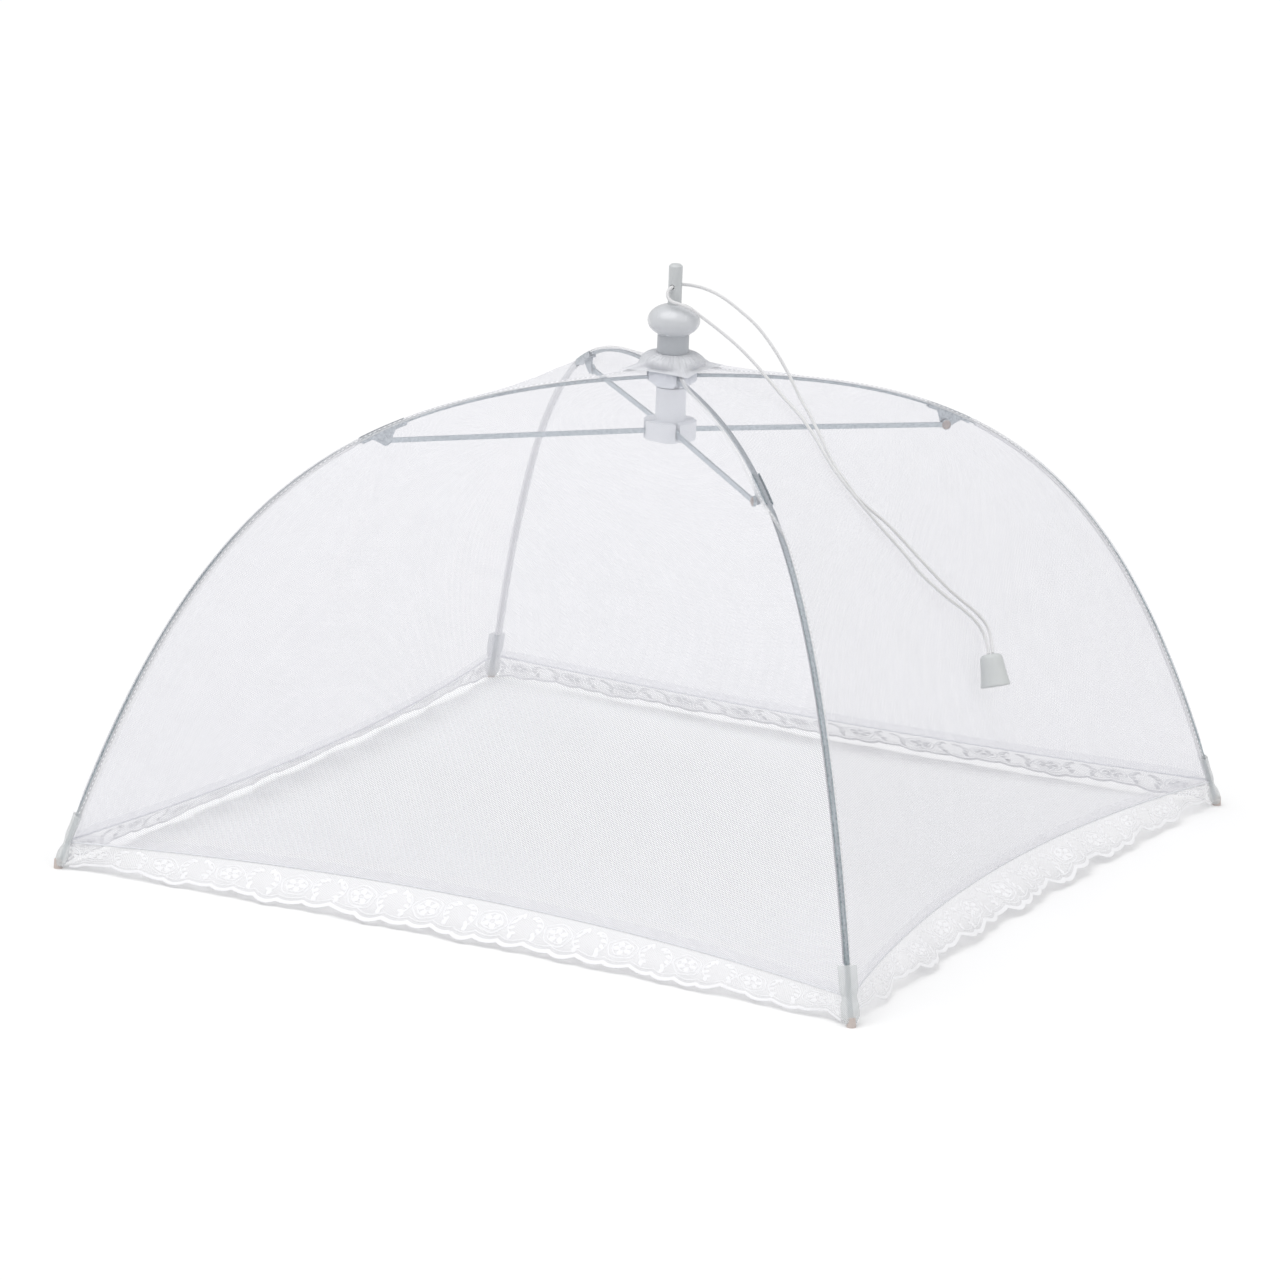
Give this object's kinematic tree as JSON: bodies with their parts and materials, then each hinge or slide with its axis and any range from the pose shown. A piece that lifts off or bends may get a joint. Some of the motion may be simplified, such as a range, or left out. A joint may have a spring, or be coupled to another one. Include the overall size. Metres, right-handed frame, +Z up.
{
  "type": "food cover",
  "caption": "Umbrella-style folding mesh food cover: square netted dome on sprung ribs with a lace hem, a pull-up rod and runner at the hub, and a looped pull cord with a bell end.",
  "frame": {"origin": "floor level under the centre of the hub", "axes": "+Z up along the pull rod; the four sides face -Y (front), +X (right), +Y (back) and -X (left); the cord lies on the +X side"},
  "size_m": [0.4368, 0.4368, 0.292],
  "materials": {
    "knob": "glossy moulded white",
    "collar": "semi-gloss moulded",
    "notch": "moulded",
    "ring": "bright wire",
    "rod": "smooth extruded tube",
    "runner": "glossy moulded white",
    "rib": "bright spring wire strip",
    "clip": "pressed bright sheet",
    "tip": "moulded brown end",
    "pocket": "folded white tape",
    "strut": "blue-grey strip",
    "rivet": "domed rivet head",
    "net": "open white netting",
    "lace": "white lace",
    "cord": "round braided cord",
    "bell": "soft moulded white"
  },
  "bodies": {
    "hub": {"knob": "knob", "collar": "collar", "top_notch": "notch", "top_ring": "ring", "top_cap": "net"},
    "runner": {"pull_rod": "rod", "runner": "runner", "runner_ring": "ring"},
    "rib_front_left": {"rib_front_left": "rib", "clip_front_left": "clip", "tip_front_left": "tip", "pocket_front_left": "pocket"},
    "rib_front_right": {"rib_front_right": "rib", "clip_front_right": "clip", "tip_front_right": "tip", "pocket_front_right": "pocket"},
    "rib_back_right": {"rib_back_right": "rib", "clip_back_right": "clip", "tip_back_right": "tip", "pocket_back_right": "pocket"},
    "rib_back_left": {"rib_back_left": "rib", "clip_back_left": "clip", "tip_back_left": "tip", "pocket_back_left": "pocket"},
    "strut_front_right": {"strut_front_right": "strut", "rivet_front_right": "rivet"},
    "strut_front_left": {"strut_front_left": "strut", "rivet_front_left": "rivet"},
    "strut_back_right": {"strut_back_right": "strut", "rivet_back_right": "rivet"},
    "strut_back_left": {"strut_back_left": "strut", "rivet_back_left": "rivet"},
    "flap_front_l": {"mesh_front_l": "net", "lace_front_l": "lace"},
    "flap_front_r": {"mesh_front_r": "net", "lace_front_r": "lace"},
    "flap_right_f": {"mesh_right_f": "net", "lace_right_f": "lace"},
    "flap_right_b": {"mesh_right_b": "net", "lace_right_b": "lace"},
    "flap_back_r": {"mesh_back_r": "net", "lace_back_r": "lace"},
    "flap_back_l": {"mesh_back_l": "net", "lace_back_l": "lace"},
    "flap_left_b": {"mesh_left_b": "net", "lace_left_b": "lace"},
    "flap_left_f": {"mesh_left_f": "net", "lace_left_f": "lace"},
    "cord": {"cord_strand_a": "cord", "cord_strand_b": "cord", "cord_bell": "bell"}
  },
  "joints": [
    {"name": "fold_front_right", "type": "hinge", "parent": "hub", "child": "rib_front_right", "pos_m": [0.00636, -0.00636, 0.236], "axis": [0.7071, 0.7071, 0], "range_deg": [0, 45.5]},
    {"name": "fold_front_left", "type": "hinge", "parent": "hub", "child": "rib_front_left", "pos_m": [-0.00636, -0.00636, 0.236], "axis": [0.7071, -0.7071, 0], "range_deg": [0, 45.5]},
    {"name": "fold_back_right", "type": "hinge", "parent": "hub", "child": "rib_back_right", "pos_m": [0.00636, 0.00636, 0.236], "axis": [-0.7071, 0.7071, 0], "range_deg": [0, 45.5]},
    {"name": "fold_back_left", "type": "hinge", "parent": "hub", "child": "rib_back_left", "pos_m": [-0.00636, 0.00636, 0.236], "axis": [-0.7071, -0.7071, 0], "range_deg": [0, 45.5]},
    {"name": "runner_slide", "type": "slide", "parent": "hub", "child": "runner", "axis": [0, 0, 1], "range_m": [-0.2007, 0]},
    {"name": "strut_front_right", "type": "hinge", "parent": "runner", "child": "strut_front_right", "pos_m": [0.00778, -0.00778, 0.209], "axis": [0.7071, 0.7071, 0], "range_deg": [-57.77, 0]},
    {"name": "strut_front_left", "type": "hinge", "parent": "runner", "child": "strut_front_left", "pos_m": [-0.00778, -0.00778, 0.209], "axis": [0.7071, -0.7071, 0], "range_deg": [-57.77, 0]},
    {"name": "strut_back_right", "type": "hinge", "parent": "runner", "child": "strut_back_right", "pos_m": [0.00778, 0.00778, 0.209], "axis": [-0.7071, 0.7071, 0], "range_deg": [-57.77, 0]},
    {"name": "strut_back_left", "type": "hinge", "parent": "runner", "child": "strut_back_left", "pos_m": [-0.00778, 0.00778, 0.209], "axis": [-0.7071, -0.7071, 0], "range_deg": [-57.77, 0]},
    {"name": "flap_front_l", "type": "hinge", "parent": "rib_front_left", "child": "flap_front_l", "pos_m": [-0.00373, -0.009, 0.236], "axis": [0.0907, 0.9471, -0.3077], "range_deg": [0, 31.89], "deforming": ["mesh_front_l", "lace_front_l"]},
    {"name": "flap_front_r", "type": "hinge", "parent": "rib_front_right", "child": "flap_front_r", "pos_m": [0.00373, -0.009, 0.236], "axis": [0.0907, -0.9471, 0.3077], "range_deg": [0, 31.89], "deforming": ["mesh_front_r", "lace_front_r"]},
    {"name": "flap_right_f", "type": "hinge", "parent": "rib_front_right", "child": "flap_right_f", "pos_m": [0.009, -0.00373, 0.236], "axis": [-0.9471, 0.0907, -0.3077], "range_deg": [0, 31.89], "deforming": ["mesh_right_f", "lace_right_f"]},
    {"name": "flap_right_b", "type": "hinge", "parent": "rib_back_right", "child": "flap_right_b", "pos_m": [0.009, 0.00373, 0.236], "axis": [0.9471, 0.0907, 0.3077], "range_deg": [0, 31.89], "deforming": ["mesh_right_b", "lace_right_b"]},
    {"name": "flap_back_r", "type": "hinge", "parent": "rib_back_right", "child": "flap_back_r", "pos_m": [0.00373, 0.009, 0.236], "axis": [-0.0907, -0.9471, -0.3077], "range_deg": [0, 31.89], "deforming": ["mesh_back_r", "lace_back_r"]},
    {"name": "flap_back_l", "type": "hinge", "parent": "rib_back_left", "child": "flap_back_l", "pos_m": [-0.00373, 0.009, 0.236], "axis": [-0.0907, 0.9471, 0.3077], "range_deg": [0, 31.89], "deforming": ["mesh_back_l", "lace_back_l"]},
    {"name": "flap_left_b", "type": "hinge", "parent": "rib_back_left", "child": "flap_left_b", "pos_m": [-0.009, 0.00373, 0.236], "axis": [0.9471, -0.0907, -0.3077], "range_deg": [0, 31.89], "deforming": ["mesh_left_b", "lace_left_b"]},
    {"name": "flap_left_f", "type": "hinge", "parent": "rib_front_left", "child": "flap_left_f", "pos_m": [-0.009, -0.00373, 0.236], "axis": [-0.9471, -0.0907, 0.3077], "range_deg": [0, 31.89], "deforming": ["mesh_left_f", "lace_left_f"]},
    {"name": "cord_follow", "type": "hinge", "parent": "hub", "child": "cord", "pos_m": [0.009, 0, 0.236], "axis": [0, 1, 0], "range_deg": [0, 36.02], "deforming": ["cord_strand_a", "cord_strand_b"]}
  ],
  "couplings": [
    {"joint": "fold_front_left", "follows": "fold_front_right", "ratio": 1},
    {"joint": "fold_back_right", "follows": "fold_front_right", "ratio": 1},
    {"joint": "fold_back_left", "follows": "fold_front_right", "ratio": 1},
    {"joint": "runner_slide", "follows": "fold_front_right", "m_per_rad": -0.25248},
    {"joint": "strut_front_right", "follows": "fold_front_right", "ratio": -1.2692},
    {"joint": "strut_front_left", "follows": "fold_front_right", "ratio": -1.2692},
    {"joint": "strut_back_right", "follows": "fold_front_right", "ratio": -1.2692},
    {"joint": "strut_back_left", "follows": "fold_front_right", "ratio": -1.2692},
    {"joint": "flap_front_l", "follows": "fold_front_right", "ratio": 0.70052},
    {"joint": "flap_front_r", "follows": "fold_front_right", "ratio": 0.70052},
    {"joint": "flap_right_f", "follows": "fold_front_right", "ratio": 0.70052},
    {"joint": "flap_right_b", "follows": "fold_front_right", "ratio": 0.70052},
    {"joint": "flap_back_r", "follows": "fold_front_right", "ratio": 0.70052},
    {"joint": "flap_back_l", "follows": "fold_front_right", "ratio": 0.70052},
    {"joint": "flap_left_b", "follows": "fold_front_right", "ratio": 0.70052},
    {"joint": "flap_left_f", "follows": "fold_front_right", "ratio": 0.70052},
    {"joint": "cord_follow", "follows": "fold_front_right", "ratio": 0.79121}
  ]
}
